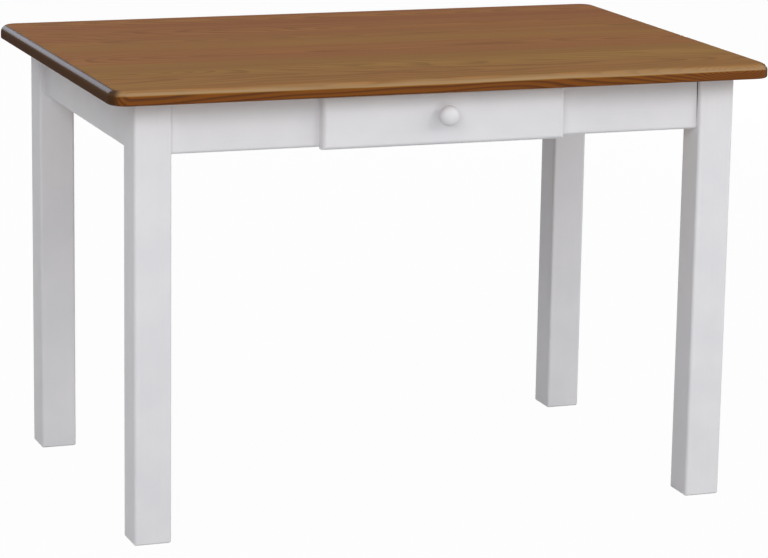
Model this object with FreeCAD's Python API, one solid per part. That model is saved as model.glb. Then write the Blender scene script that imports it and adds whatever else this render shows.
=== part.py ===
import FreeCAD, Part
import math
import os

# Kitchen table with one drawer in the front apron.
# X runs along the table, Y from the front to the back, and Z up.
# The origin is on the floor under the middle of the top. Lengths are in millimetres.

# Overall size
table_length = 1180.0
table_width = 800.0
table_height = 780.0

# Top: one glued pine panel
top_thickness = 25.0
top_corner_radius = 32.0
top_roundover = 13.0
top_lower_ease = 3.0
end_overhang = 50.0
side_overhang = 50.0

# Legs: square and untapered, with a flat on the inner corner for the hanger bolt
leg_side = 65.0
leg_edge_radius = 5.0
leg_foot_chamfer = 2.0
leg_flat_width = 20.0

# Aprons
apron_height = 93.0
apron_thickness = 20.0
apron_setback = 10.0
apron_edge_radius = 6.0

# Drawer window in the front apron
window_width = 390.0
window_sill = 19.0
window_header = 18.0

# Drawer box
drawer_depth = 470.0
drawer_front_overlap = 22.5
drawer_front_thickness = 20.0
drawer_front_drop = 2.0
drawer_front_gap = 2.0
drawer_front_edge_radius = 7.0
drawer_side_thickness = 12.0
drawer_side_gap = 1.5
drawer_side_edge_radius = 2.0
drawer_running_gap = 0.3
drawer_headroom = 3.7
drawer_back_thickness = 12.0
drawer_tail = 90.0
drawer_bottom_thickness = 4.0
groove_depth = 6.0
groove_rise = 8.0
groove_play = 0.15
panel_end_gap = 0.5

# Drawer knob, turned from wood
knob_diameter = 35.0
knob_projection = 30.0
knob_height_share = 0.56
knob_rim_share = 0.57
knob_fullness_share = 0.88
knob_neck_diameter = 14.0
knob_neck_share = 0.14
knob_screw_diameter = 4.0
knob_screw_head_diameter = 8.0
knob_screw_head_height = 2.6
knob_screw_grip = 12.0
knob_screw_recess = 4.0
knob_screw_recess_play = 1.5

# Runners under the drawer sides and kickers over them
runner_ledge_width = 16.0
runner_guide_thickness = 18.0
runner_guide_rise = 15.0
runner_lift = 2.0
kicker_width = 24.0
kicker_screw_shares = (0.1, 0.5, 0.9)

# Turn button that stops the drawer behind the header of its window
button_length = 52.0
button_width = 16.0
button_thickness = 10.0
button_pivot_drop = 12.0
button_gap = 0.3
button_screw_depth = 10.0

# Corner blocks and hanger bolts
block_thickness = 28.0
block_height = 70.0
block_leg_gap = 7.0
block_screw_rise_shares = (0.22, 0.78)
block_screw_bite = 15.0
bolt_diameter = 8.0
bolt_leg_depth = 45.0
bolt_tip = 8.0
bolt_tail = 6.0
bolt_hole_play = 0.5
washer_diameter = 20.0
washer_thickness = 1.6
washer_play = 0.2
nut_across_flats = 13.0
nut_height = 6.5

# Angle brackets between the aprons and the top
bracket_leg = 30.0
bracket_width = 18.0
bracket_gauge = 2.0
bracket_bend_radius = 3.0
bracket_hole_share = 0.6
bracket_long_shares = (-0.7, 0.7)

# Wood screws: countersunk for wood, pan headed for metal and for the turn button
sunk_screw_diameter = 4.5
sunk_screw_head_diameter = 9.0
sunk_screw_length = 31.0
pan_screw_diameter = 4.0
pan_screw_head_diameter = 8.0
pan_screw_head_height = 2.4
pan_screw_length = 17.0
screw_tip = 3.0
pin_diameter = 1.6
pin_head_diameter = 3.4
pin_head_height = 0.8
pin_length = 18.0
pin_dowel_margin = 6.0
pin_shares = (-1.0, -0.5, 0.0, 0.5, 1.0)

# Dowels
apron_dowel_diameter = 10.0
apron_dowel_length = 40.0
apron_dowel_shares = (0.25, 0.75)
runner_dowel_diameter = 8.0
runner_dowel_length = 32.0
runner_dowel_bite = 12.0
drawer_dowel_diameter = 6.0
drawer_dowel_length = 30.0
drawer_dowel_front_bite = 12.0
drawer_dowel_side_bite = 8.0
drawer_dowel_shares = (0.42, 0.80)
dowel_chamfer = 1.0

# Clearances shared by all holes
hole_play = 0.15
hole_end_gap = 1.0
overrun = 5.0
match_tolerance = 0.001

# Places that follow from the sizes above
leg_height = table_height - top_thickness
leg_out_x = table_length / 2 - end_overhang
leg_out_y = table_width / 2 - side_overhang
leg_in_x = leg_out_x - leg_side
leg_in_y = leg_out_y - leg_side
apron_bottom = leg_height - apron_height
apron_out_x = leg_out_x - apron_setback
apron_out_y = leg_out_y - apron_setback
apron_in_x = apron_out_x - apron_thickness
apron_in_y = apron_out_y - apron_thickness
apron_mid_x = (apron_out_x + apron_in_x) / 2
apron_mid_y = (apron_out_y + apron_in_y) / 2
apron_mid_z = apron_bottom + apron_height / 2

window_half = window_width / 2
window_bottom = apron_bottom + window_sill
window_top = leg_height - window_header

side_out_x = window_half - drawer_side_gap
side_in_x = side_out_x - drawer_side_thickness
side_mid_x = (side_out_x + side_in_x) / 2
side_bottom = window_bottom + drawer_running_gap
side_top = window_top - drawer_headroom
side_height = side_top - side_bottom
front_back_y = -apron_out_y
front_face_y = front_back_y - drawer_front_thickness
front_half = window_half + drawer_front_overlap
front_bottom = apron_bottom - drawer_front_drop
front_top = leg_height - drawer_front_gap
side_end_y = front_back_y + drawer_depth
back_rear_y = side_end_y - drawer_tail
back_face_y = back_rear_y - drawer_back_thickness
back_mid_y = (back_rear_y + back_face_y) / 2
panel_bottom = side_bottom + groove_rise
panel_top = panel_bottom + drawer_bottom_thickness

knob_z = front_bottom + knob_height_share * (front_top - front_bottom)
button_z = side_top - button_pivot_drop
button_face_y = back_rear_y + button_gap
button_rear_y = button_face_y + button_thickness
runner_bottom = apron_bottom + runner_lift
kicker_end_y = side_end_y

V = FreeCAD.Vector
ORIGIN = V(0, 0, 0)
X_AXIS = V(1, 0, 0)
Y_AXIS = V(0, 1, 0)
Z_AXIS = V(0, 0, 1)
DIAGONAL = V(1, 1, 0).normalize()
full_turn = 360.0
hexagon_sides = 6
parallel_share = 0.999
corners = {
    "front_left": (-1, -1),
    "front_right": (1, -1),
    "back_left": (-1, 1),
    "back_right": (1, 1),
}
sides = {"left": -1, "right": 1}


def box(x0, x1, y0, y1, z0, z1):
    """Block between two corners."""
    return Part.makeBox(x1 - x0, y1 - y0, z1 - z0, V(x0, y0, z0))


def mirrored(shape, sign_x, sign_y=1):
    """A copy on the side of the table that the signs name."""
    if sign_x < 0:
        shape = shape.mirror(ORIGIN, X_AXIS)
    if sign_y < 0:
        shape = shape.mirror(ORIGIN, Y_AXIS)
    return shape


def edges_along(shape, axis):
    """Straight edges that run along an axis."""
    straight = [edge for edge in shape.Edges if isinstance(edge.Curve, Part.Line)]
    return [edge for edge in straight if abs(edge.Curve.Direction.dot(axis)) > parallel_share]


def lies_at(edge, axis, place):
    """Whether an edge lies wholly in the plane square to an axis at a place on it."""
    points = [vertex.Point for vertex in edge.Vertexes] + [edge.CenterOfMass]
    return all(abs(point.dot(axis) - place) < match_tolerance for point in points)


def edges_at(shape, axis, place):
    """Edges in the plane square to an axis at a place on it."""
    return [edge for edge in shape.Edges if lies_at(edge, axis, place)]


def turned(profile, start, direction):
    """Solid of revolution from (radius, distance along the axis) points."""
    points = [V(radius, 0, along) for radius, along in profile]
    face = Part.Face(Part.makePolygon(points + points[:1]))
    solid = face.revolve(ORIGIN, Z_AXIS, full_turn)
    solid.Placement = FreeCAD.Placement(start, FreeCAD.Rotation(Z_AXIS, direction))
    return solid


def drilled(shape, *groups):
    """The shape with every hole cut that reaches it."""
    holes = [hole for group in groups for _, hole in group]
    near = [hole for hole in holes if hole.BoundBox.intersect(shape.BoundBox)]
    return shape.cut(near) if near else shape


def solids_of(group):
    """The pieces of a group of fasteners, without their holes."""
    return [solid for solid, _ in group]


def dowel(start, direction, diameter, length):
    """Chamfered dowel and the hole that takes it."""
    radius = diameter / 2
    end = radius - dowel_chamfer
    profile = (
        (0, 0), (end, 0), (radius, dowel_chamfer),
        (radius, length - dowel_chamfer), (end, length), (0, length),
    )
    hole_start = start - direction * hole_end_gap
    hole_length = length + 2 * hole_end_gap
    hole = Part.makeCylinder(radius + hole_play, hole_length, hole_start, direction)
    return turned(profile, start, direction), hole


def sunk_screw(start, direction, bore):
    """Countersunk screw with its head level at start, and a hole that runs back by bore."""
    shank = sunk_screw_diameter / 2
    head = sunk_screw_head_diameter / 2
    cone = head - shank
    length = sunk_screw_length
    profile = ((0, 0), (head, 0), (shank, cone), (shank, length - screw_tip), (0, length))
    wide = head + hole_play
    slim = shank + hole_play
    hole_end = length + hole_play
    hole = ((0, -bore), (wide, -bore), (wide, 0), (slim, cone), (slim, hole_end), (0, hole_end))
    return turned(profile, start, direction), turned(hole, start, direction)


def pan_screw(start, direction, length):
    """Pan headed screw that seats at start, and the hole for its shank."""
    shank = pan_screw_diameter / 2
    head = pan_screw_head_diameter / 2
    rise = pan_screw_head_height
    profile = (
        (0, -rise), (head - rise / 2, -rise), (head, -rise / 2), (head, 0),
        (shank, 0), (shank, length - screw_tip), (0, length),
    )
    hole = Part.makeCylinder(shank + hole_play, length + hole_play, start, direction)
    return turned(profile, start, direction), hole


def arc(points):
    """Edge through three points."""
    return Part.Arc(*points).toShape()


def line(start, end):
    """Straight edge."""
    return Part.LineSegment(start, end).toShape()


def apron_dowel_group():
    """Two dowels at each end of each apron, half in the apron and half in the leg."""
    group = []
    half = apron_dowel_length / 2
    for sign_x, sign_y in corners.values():
        for share in apron_dowel_shares:
            z = apron_bottom + share * apron_height
            along_x = V(sign_x * (leg_in_x - half), sign_y * apron_mid_y, z)
            along_y = V(sign_x * apron_mid_x, sign_y * (leg_in_y - half), z)
            group.append(dowel(along_x, X_AXIS * sign_x, apron_dowel_diameter, apron_dowel_length))
            group.append(dowel(along_y, Y_AXIS * sign_y, apron_dowel_diameter, apron_dowel_length))
    return group


def runner_dowel_group():
    """Two dowels at each end of each runner, set into the long aprons."""
    group = []
    z = (runner_bottom + window_bottom) / 2
    start = apron_in_y + runner_dowel_bite
    for sign_x, sign_y in corners.values():
        for x in (window_half - runner_ledge_width / 2, window_half + runner_guide_thickness / 2):
            place = V(sign_x * x, sign_y * start, z)
            group.append(dowel(place, Y_AXIS * -sign_y, runner_dowel_diameter, runner_dowel_length))
    return group


def drawer_dowel_group():
    """Dowels that join the drawer sides to the front and to the back."""
    group = []
    for sign in sides.values():
        for share in drawer_dowel_shares:
            z = side_bottom + share * side_height
            front = V(sign * side_mid_x, front_back_y - drawer_dowel_front_bite, z)
            back = V(sign * (side_in_x + drawer_dowel_side_bite), back_mid_y, z)
            group.append(dowel(front, Y_AXIS, drawer_dowel_diameter, drawer_dowel_length))
            group.append(dowel(back, X_AXIS * -sign, drawer_dowel_diameter, drawer_dowel_length))
    return group


# Along the diagonal of a corner: the flat on the leg, then the two faces of the block
flat_place = V(leg_in_x, leg_in_y, 0) + DIAGONAL * (leg_flat_width / 2)
block_near = flat_place - DIAGONAL * block_leg_gap
block_far = block_near - DIAGONAL * block_thickness
block_near_sum = block_near.x + block_near.y
block_far_sum = block_far.x + block_far.y
block_bottom = apron_mid_z - block_height / 2


def bolt_place(point):
    """A point of the corner diagonal, raised to the bolt's height."""
    return V(point.x, point.y, apron_mid_z)


def hanger_bolt():
    """Stud from inside the leg to past the nut, pointed at the leg end."""
    radius = bolt_diameter / 2
    tail = block_far - DIAGONAL * (washer_thickness + nut_height + bolt_tail)
    tip = flat_place + DIAGONAL * bolt_leg_depth
    length = (tip - tail).Length
    profile = ((0, 0), (radius, 0), (radius, length - bolt_tip), (0, length))
    hole = Part.makeCylinder(radius + hole_play, length + hole_end_gap, bolt_place(tail), DIAGONAL)
    return turned(profile, bolt_place(tail), DIAGONAL), hole


def bolt_washer():
    """Flat washer on the inner face of the block."""
    outer = washer_diameter / 2
    inner = bolt_diameter / 2 + washer_play
    start = bolt_place(block_far - DIAGONAL * washer_thickness)
    profile = ((inner, 0), (outer, 0), (outer, washer_thickness), (inner, washer_thickness))
    return turned(profile, start, DIAGONAL)


def bolt_nut():
    """Hexagon nut that pulls the leg against the ends of the aprons."""
    start = bolt_place(block_far - DIAGONAL * (washer_thickness + nut_height))
    radius = nut_across_flats / 2 / math.cos(math.pi / hexagon_sides)
    turns = [2 * math.pi * step / hexagon_sides for step in range(hexagon_sides + 1)]
    ring = Part.makePolygon([V(radius * math.cos(turn), radius * math.sin(turn), 0) for turn in turns])
    nut = Part.Face(ring).extrude(Z_AXIS * nut_height)
    nut = nut.cut(Part.makeCylinder(bolt_diameter / 2 + hole_play, nut_height))
    nut.Placement = FreeCAD.Placement(start, FreeCAD.Rotation(Z_AXIS, DIAGONAL))
    return nut


def block_screw_group():
    """Two screws through each end of a block, square to the apron that it meets."""
    group = []
    middle_sum = (block_near_sum + block_far_sum) / 2
    seat = sunk_screw_length - block_screw_bite
    for share in block_screw_rise_shares:
        z = block_bottom + share * block_height
        to_long = V(middle_sum - apron_in_y, apron_in_y - seat, z)
        to_end = V(apron_in_x - seat, middle_sum - apron_in_x, z)
        group.append(sunk_screw(to_long, Y_AXIS, block_thickness))
        group.append(sunk_screw(to_end, X_AXIS, block_thickness))
    return group


def corner_block(screws):
    """Mitred block across the back right corner, bored for the bolt and its screws."""
    points = [
        V(block_near_sum - apron_in_y, apron_in_y, block_bottom),
        V(block_far_sum - apron_in_y, apron_in_y, block_bottom),
        V(apron_in_x, block_far_sum - apron_in_x, block_bottom),
        V(apron_in_x, block_near_sum - apron_in_x, block_bottom),
    ]
    block = Part.Face(Part.makePolygon(points + points[:1])).extrude(Z_AXIS * block_height)
    bore_start = bolt_place(block_far - DIAGONAL * overrun)
    bore_length = block_thickness + 2 * overrun
    bore = Part.makeCylinder(bolt_diameter / 2 + bolt_hole_play, bore_length, bore_start, DIAGONAL)
    return drilled(block.cut(bore), screws)


def spread(group):
    """A group of fasteners made for the back right corner, copied to all four."""
    copies = []
    for sign_x, sign_y in corners.values():
        for solid, hole in group:
            copies.append((mirrored(solid, sign_x, sign_y), mirrored(hole, sign_x, sign_y)))
    return copies


def bracket_places():
    """Where each angle bracket meets its apron, and the turn that faces it inwards."""
    places = [(0, apron_in_y, full_turn / 2)]
    for share in bracket_long_shares:
        places.append((share * leg_in_x, apron_in_y, full_turn / 2))
        places.append((share * leg_in_x, -apron_in_y, 0))
    places.append((-apron_in_x, 0, -full_turn / 4))
    places.append((apron_in_x, 0, full_turn / 4))
    return places


def at_bracket(shape, place):
    """A bracket or its screw, set where it belongs under the top."""
    x, y, angle = place
    copy = shape.copy()
    move = FreeCAD.Placement(V(x, y, leg_height), FreeCAD.Rotation(Z_AXIS, angle))
    copy.Placement = move.multiply(copy.Placement)
    return copy


def bracket_screw_pair():
    """One screw into the apron and one up into the top, at a bracket's own corner."""
    reach = bracket_hole_share * bracket_leg
    to_apron = pan_screw(V(0, bracket_gauge, -reach), -Y_AXIS, pan_screw_length)
    to_top = pan_screw(V(0, reach, -bracket_gauge), Z_AXIS, pan_screw_length)
    return [to_apron, to_top]


def bracket(screws):
    """Bent steel angle with one hole in each leg."""
    half = bracket_width / 2
    upright = box(-half, half, 0, bracket_gauge, -bracket_leg, 0)
    flange = box(-half, half, 0, bracket_leg, -bracket_gauge, 0)
    angle = upright.fuse(flange).removeSplitter()
    bend = [edge for edge in edges_at(angle, Y_AXIS, 0) if lies_at(edge, Z_AXIS, 0)]
    return drilled(angle.makeFillet(bracket_bend_radius, bend), screws)


def kicker_screw_group():
    """Screws up through the kickers into the top."""
    group = []
    length = kicker_end_y + apron_in_y
    for sign in sides.values():
        for share in kicker_screw_shares:
            place = V(sign * (window_half - kicker_width / 2), share * length - apron_in_y, window_top)
            group.append(sunk_screw(place, Z_AXIS, overrun))
    return group


def panel_pin_group():
    """Pins up through the drawer bottom into the back's lower edge, between its dowels."""
    group = []
    radius = pin_diameter / 2
    head = pin_head_diameter / 2
    rise = pin_head_height
    profile = ((0, -rise), (head, -rise), (head, 0), (radius, 0), (radius, pin_length), (0, pin_length))
    span = side_in_x + drawer_dowel_side_bite - drawer_dowel_length - pin_dowel_margin
    for share in pin_shares:
        place = V(share * span, back_mid_y, panel_bottom)
        hole = Part.makeCylinder(radius + hole_play, pin_length + hole_play, place, Z_AXIS)
        group.append((turned(profile, place, Z_AXIS), hole))
    return group


def tabletop():
    """Panel with rounded corners, a full roundover above and a light ease below."""
    half_x = table_length / 2
    half_y = table_width / 2
    panel = box(-half_x, half_x, -half_y, half_y, leg_height, table_height)
    panel = panel.makeFillet(top_corner_radius, edges_along(panel, Z_AXIS))
    panel = panel.makeFillet(top_roundover, edges_at(panel, Z_AXIS, table_height))
    return panel.makeFillet(top_lower_ease, edges_at(panel, Z_AXIS, leg_height))


def leg():
    """Leg at the back right corner, flattened inside where the bolt goes in."""
    post = box(leg_in_x, leg_out_x, leg_in_y, leg_out_y, 0, leg_height)
    post = post.makeFillet(leg_edge_radius, edges_along(post, Z_AXIS))
    post = post.makeChamfer(leg_foot_chamfer, edges_at(post, Z_AXIS, 0))
    waste = box(-leg_side, leg_side, -leg_side, 0, 0, apron_height)
    turn = FreeCAD.Rotation(Y_AXIS, DIAGONAL)
    waste.Placement = FreeCAD.Placement(V(flat_place.x, flat_place.y, apron_bottom), turn)
    return post.cut(waste)


def long_apron():
    """Back apron, with both lower edges rounded."""
    board = box(-leg_in_x, leg_in_x, apron_in_y, apron_out_y, apron_bottom, leg_height)
    lower = [edge for edge in edges_along(board, X_AXIS) if edge.CenterOfMass.z < apron_mid_z]
    return board.makeFillet(apron_edge_radius, lower)


def end_apron():
    """Right apron, with both lower edges rounded."""
    board = box(apron_in_x, apron_out_x, -leg_in_y, leg_in_y, apron_bottom, leg_height)
    lower = [edge for edge in edges_along(board, Y_AXIS) if edge.CenterOfMass.z < apron_mid_z]
    return board.makeFillet(apron_edge_radius, lower)


def drawer_window():
    """Waste cut from the front apron to let the drawer box through."""
    near = -apron_out_y - overrun
    far = -apron_in_y + overrun
    return box(-window_half, window_half, near, far, window_bottom, window_top)


def runner():
    """Right runner: a ledge under the drawer side and a guide beside it."""
    inner = window_half - runner_ledge_width
    outer = window_half + runner_guide_thickness
    guide_top = window_bottom + runner_guide_rise
    outline = (
        (inner, runner_bottom), (outer, runner_bottom), (outer, guide_top),
        (window_half, guide_top), (window_half, window_bottom), (inner, window_bottom),
    )
    points = [V(x, -apron_in_y, z) for x, z in outline]
    face = Part.Face(Part.makePolygon(points + points[:1]))
    return face.extrude(Y_AXIS * (2 * apron_in_y))


def kicker():
    """Right kicker, level with the top of the window, that keeps the open drawer from tipping."""
    return box(window_half - kicker_width, window_half, -apron_in_y, kicker_end_y, window_top, leg_height)


def drawer_front():
    """Front board that overlaps its window, grooved behind for the bottom."""
    board = box(-front_half, front_half, front_face_y, front_back_y, front_bottom, front_top)
    board = board.makeFillet(drawer_front_edge_radius, edges_at(board, Y_AXIS, front_face_y))
    reach = side_in_x + groove_depth
    top = panel_top + groove_play
    groove = box(-reach, reach, front_back_y - groove_depth, front_back_y + overrun, panel_bottom, top)
    recess_radius = (knob_screw_head_diameter + knob_screw_recess_play) / 2
    recess_start = V(0, front_back_y + overrun, knob_z)
    recess = Part.makeCylinder(recess_radius, knob_screw_recess + overrun, recess_start, -Y_AXIS)
    return board.cut([groove, recess])


def drawer_side():
    """Right side, grooved for the bottom and eased along its top edge."""
    board = box(side_in_x, side_out_x, front_back_y, side_end_y, side_bottom, side_top)
    upper = [edge for edge in edges_along(board, Y_AXIS) if lies_at(edge, Z_AXIS, side_top)]
    board = board.makeFillet(drawer_side_edge_radius, upper)
    near = front_back_y - overrun
    far = side_end_y + overrun
    groove = box(side_in_x - overrun, side_in_x + groove_depth, near, far, panel_bottom, panel_top + groove_play)
    return board.cut(groove)


def drawer_back():
    """Back board between the sides, standing on the bottom panel."""
    return box(-side_in_x, side_in_x, back_face_y, back_rear_y, panel_top, side_top)


def drawer_bottom():
    """Thin panel held in the grooves of the front and sides, run under the back."""
    half = side_in_x + groove_depth - panel_end_gap
    front = front_back_y - groove_depth + panel_end_gap
    return box(-half, half, front, back_rear_y, panel_bottom, panel_top)


def knob_outline():
    """Half section of the knob: a foot, a cove, a full rim and a low dome, each tangent to the next."""
    rise = (1 - knob_rim_share) * knob_projection
    rim = knob_fullness_share * rise
    rim_centre = V(knob_diameter / 2 - rim, 0, knob_projection - rise)
    dome = (rise ** 2 + rim_centre.x ** 2 - rim ** 2) / (2 * (rise - rim))
    dome_centre = V(0, 0, knob_projection - dome)
    dome_start = (rim_centre - dome_centre).normalize()
    dome_join = dome_centre + dome_start * dome
    dome_middle = dome_centre + (dome_start + Z_AXIS).normalize() * dome
    neck = V(knob_neck_diameter / 2, 0, knob_neck_share * knob_projection)
    inset = neck.x - rim_centre.x
    drop = rim_centre.z - neck.z
    cove = (inset ** 2 + drop ** 2 - rim ** 2) / (2 * (rim - inset))
    cove_centre = neck + X_AXIS * cove
    cove_join = cove_centre + (rim_centre - cove_centre).normalize() * cove
    foot_top = cove_centre - Z_AXIS * cove
    foot = V(foot_top.x, 0, 0)
    top = V(0, 0, knob_projection)
    return [
        line(ORIGIN, foot),
        line(foot, foot_top),
        arc([foot_top, neck, cove_join]),
        arc([cove_join, rim_centre + X_AXIS * rim, dome_join]),
        arc([dome_join, dome_middle, top]),
        line(top, ORIGIN),
    ]


def drawer_knob():
    """Turned knob, bored from behind for its screw."""
    knob = Part.Face(Part.Wire(knob_outline())).revolve(ORIGIN, Z_AXIS, full_turn)
    bore = knob_screw_diameter / 2 + hole_play
    knob = knob.cut(Part.makeCylinder(bore, knob_screw_grip + hole_end_gap))
    knob.Placement = FreeCAD.Placement(V(0, front_face_y, knob_z), FreeCAD.Rotation(Z_AXIS, -Y_AXIS))
    return knob


def knob_screw():
    """Machine screw from inside the drawer into the knob, its head in a recess."""
    shank = knob_screw_diameter / 2
    head = knob_screw_head_diameter / 2
    rise = knob_screw_head_height
    length = drawer_front_thickness - knob_screw_recess + knob_screw_grip
    profile = ((0, -rise), (head, -rise), (head, 0), (shank, 0), (shank, length), (0, length))
    start = V(0, front_back_y - knob_screw_recess, knob_z)
    hole = Part.makeCylinder(shank + hole_play, length, start, -Y_AXIS)
    return turned(profile, start, -Y_AXIS), hole


def drawer_button():
    """Bar with round ends that turns about its screw on the back of the drawer."""
    half = button_width / 2
    reach = button_length / 2 - half
    low = [V(sign * half, button_face_y, -reach) for sign in (1, -1)]
    high = [V(sign * half, button_face_y, reach) for sign in (1, -1)]
    top = V(0, button_face_y, button_length / 2)
    bottom = V(0, button_face_y, -button_length / 2)
    edges = [line(low[0], high[0]), arc([high[0], top, high[1]])]
    edges += [line(high[1], low[1]), arc([low[1], bottom, low[0]])]
    bar = Part.Face(Part.Wire(edges)).extrude(Y_AXIS * button_thickness)
    bore_start = V(0, button_face_y - overrun, 0)
    bore_length = button_thickness + 2 * overrun
    bore = Part.makeCylinder(pan_screw_diameter / 2 + button_gap, bore_length, bore_start, Y_AXIS)
    bar = bar.cut(bore)
    bar.translate(V(0, 0, button_z))
    return bar


def save(name, pieces):
    """Write one node: a single solid or a group of separate ones."""
    shape = pieces[0] if len(pieces) == 1 else Part.makeCompound(pieces)
    count = len(shape.Solids)
    print(f"{name}: {count} solid(s), {shape.Volume:.0f} mm3, valid {shape.isValid()}")
    shape.exportStep(f"parts/{name}.step")


os.makedirs("parts", exist_ok=True)

# Fasteners first, because the wood is drilled to suit them
apron_dowels = apron_dowel_group()
runner_dowels = runner_dowel_group()
drawer_dowels = drawer_dowel_group()
corner_screws = block_screw_group()
block_screws = spread(corner_screws)
hanger_bolts = spread([hanger_bolt()])
kicker_screws = kicker_screw_group()
panel_pins = panel_pin_group()
front_screw = [knob_screw()]
button_seat = V(0, button_rear_y + button_gap, button_z)
button_grip = button_thickness + 2 * button_gap + button_screw_depth
button_screw = [pan_screw(button_seat, -Y_AXIS, button_grip)]
bracket_pair = bracket_screw_pair()
bracket_screws = []
for place in bracket_places():
    for solid, hole in bracket_pair:
        bracket_screws.append((at_bracket(solid, place), at_bracket(hole, place)))

# Top and legs
save("tabletop", [drilled(tabletop(), bracket_screws, kicker_screws)])
for corner, (sign_x, sign_y) in corners.items():
    post = mirrored(leg(), sign_x, sign_y)
    save(f"leg_{corner}", [drilled(post, apron_dowels, hanger_bolts)])
    block = mirrored(corner_block(corner_screws), sign_x, sign_y)
    save(f"corner_block_{corner}", [block])

# Aprons
apron_holes = (apron_dowels, runner_dowels, block_screws, bracket_screws)
save("apron_back", [drilled(long_apron(), *apron_holes)])
front_apron = mirrored(long_apron(), 1, -1).cut(drawer_window())
save("apron_front", [drilled(front_apron, *apron_holes)])
for side, sign in sides.items():
    save(f"apron_{side}", [drilled(mirrored(end_apron(), sign), *apron_holes)])

# Runners and kickers
for side, sign in sides.items():
    save(f"runner_{side}", [drilled(mirrored(runner(), sign), runner_dowels)])
    save(f"kicker_{side}", [drilled(mirrored(kicker(), sign), kicker_screws)])

# Drawer
save("drawer_front", [drilled(drawer_front(), drawer_dowels, front_screw)])
for side, sign in sides.items():
    save(f"drawer_side_{side}", [drilled(mirrored(drawer_side(), sign), drawer_dowels)])
save("drawer_back", [drilled(drawer_back(), drawer_dowels, panel_pins, button_screw)])
save("drawer_bottom", [drilled(drawer_bottom(), panel_pins)])
save("drawer_knob", [drawer_knob()])
save("drawer_button", [drawer_button()])

# Fasteners
save("apron_dowels", solids_of(apron_dowels))
save("runner_dowels", solids_of(runner_dowels))
save("drawer_dowels", solids_of(drawer_dowels))
save("hanger_bolts", solids_of(hanger_bolts))
save("bolt_washers", [mirrored(bolt_washer(), *signs) for signs in corners.values()])
save("bolt_nuts", [mirrored(bolt_nut(), *signs) for signs in corners.values()])
save("corner_block_screws", solids_of(block_screws))
save("top_brackets", [at_bracket(bracket(bracket_pair), place) for place in bracket_places()])
save("top_bracket_screws", solids_of(bracket_screws))
save("kicker_screws", solids_of(kicker_screws))
save("drawer_bottom_pins", solids_of(panel_pins))
save("knob_screw", solids_of(front_screw))
save("button_screw", solids_of(button_screw))

travel = button_face_y + apron_in_y
print(f"drawer travel until the button meets the header: {travel:.1f} mm")
print(f"drawer engagement left at full travel: {side_end_y - travel + apron_out_y:.1f} mm")
print(f"button pivot height: {button_z:.2f} mm")
print(f"drawer inside: x {side_in_x:.2f}, y {front_back_y:.2f} to {back_face_y:.2f}, z {panel_top:.2f} to {side_top:.2f}")
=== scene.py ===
# %% [markdown]
# # A painted kitchen table with a stained pine top
# The table is 1.18 m long. Its legs, aprons and drawer front are painted white, its top is
# stained brown and lacquered, and inside there are bare boards and plated fasteners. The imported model
# already holds every piece at its real size, so this lesson dresses it: it gives each piece a finish,
# rebuilds a few as smoother surfaces, and then sets up floor, light and camera.

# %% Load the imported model
import math

import bpy
import numpy as np
from mathutils import Matrix, Vector


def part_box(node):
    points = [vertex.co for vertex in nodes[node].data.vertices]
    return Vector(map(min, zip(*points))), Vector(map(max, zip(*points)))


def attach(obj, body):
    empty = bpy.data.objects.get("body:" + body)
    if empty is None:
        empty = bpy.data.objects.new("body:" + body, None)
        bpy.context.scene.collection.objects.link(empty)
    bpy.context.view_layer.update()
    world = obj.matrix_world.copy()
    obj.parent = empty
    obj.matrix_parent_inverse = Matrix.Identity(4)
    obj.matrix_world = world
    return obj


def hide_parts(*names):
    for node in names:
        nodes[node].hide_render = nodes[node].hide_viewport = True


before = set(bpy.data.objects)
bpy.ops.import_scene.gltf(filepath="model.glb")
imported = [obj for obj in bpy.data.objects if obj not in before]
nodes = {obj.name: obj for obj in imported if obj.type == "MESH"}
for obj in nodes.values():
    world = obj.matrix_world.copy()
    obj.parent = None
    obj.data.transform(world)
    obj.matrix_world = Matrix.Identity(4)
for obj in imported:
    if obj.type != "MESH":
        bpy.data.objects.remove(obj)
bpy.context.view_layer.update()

MM = 0.001
print("pieces in the frame:", len(nodes))

# %% [markdown]
# Two helpers serve every finish. Colours are picked as sRGB hex values, but shaders work with linear
# light, so one function turns the first into the second. Node trees get long quickly, so the other
# adds one node, sets it up and links it. A plain value goes into the socket and a node is linked to it.

# %% Colour and node helpers
def linear(code):
    """Linear RGBA of an sRGB hex value: a straight toe below 0.04045 and a power of 2.4 above it."""
    srgb = np.array([int(code[i:i + 2], 16) for i in (1, 3, 5)]) / 255
    light = np.where(srgb <= 0.04045, srgb / 12.92, ((srgb + 0.055) / 1.055) ** 2.4)
    return (*light.tolist(), 1.0)


def add(tree, kind, inputs=(), **settings):
    """Adds a node. inputs is a list in socket order, or a dict by socket name. None skips a socket."""
    node = tree.nodes.new("ShaderNode" + kind)
    for name, value in settings.items():
        setattr(node, name, value)
    sockets = [socket for socket in node.inputs if socket.enabled]
    pairs = inputs.items() if isinstance(inputs, dict) else enumerate(inputs)
    for key, value in pairs:
        socket = sockets[key] if isinstance(key, int) else node.inputs[key]
        if isinstance(value, bpy.types.Node):
            value = next(out for out in value.outputs if out.enabled)
        if isinstance(value, bpy.types.NodeSocket):
            tree.links.new(value, socket)
        elif value is not None:
            socket.default_value = value
    return node


def new_finish(name):
    """An empty material, its tree, and the piece's own coordinates in millimetres."""
    material = bpy.data.materials.new(name)
    material.use_nodes = True
    tree = material.node_tree
    tree.nodes.clear()
    place = add(tree, "VectorMath", [add(tree, "TexCoord").outputs["Object"], 1 / MM], operation="SCALE")
    return material, tree, place


def close_finish(tree, shader):
    """Links the finished shader to the output."""
    add(tree, "OutputMaterial", {"Surface": shader})


print("mid grey #808080 is", round(linear("#808080")[0], 3), "in linear light")

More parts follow.
